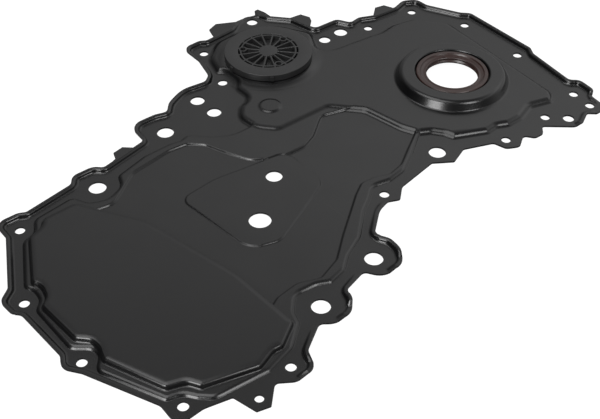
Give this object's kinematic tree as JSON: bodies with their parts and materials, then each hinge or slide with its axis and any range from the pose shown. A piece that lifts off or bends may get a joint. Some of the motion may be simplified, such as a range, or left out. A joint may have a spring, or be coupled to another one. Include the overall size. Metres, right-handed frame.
{
  "type": "engine timing cover",
  "caption": "Pressed steel timing cover with a bolt flange, stiffening panels, a crankshaft seal in a raised boss and a twist-in access plug.",
  "frame": {"origin": "middle of the part's footprint, in the plane of the flange's mating face", "axes": "+Z out of the engine, +Y from the crank end to the cam end, +X towards the access plug's side"},
  "size_m": [0.3488, 0.467, 0.0119],
  "materials": {
    "black_coated_steel": "satin black coating",
    "seal_rubber": "moulded brown-black rubber",
    "spring_steel": "bright spring wire",
    "plug_plastic": "moulded black plastic",
    "o_ring_rubber": "matt black rubber"
  },
  "bodies": {
    "root": {"cover_pressing": "black_coated_steel", "crank_seal": "seal_rubber", "seal_garter_spring": "spring_steel", "access_plug": "plug_plastic", "plug_o_ring": "o_ring_rubber"}
  },
  "joints": []
}
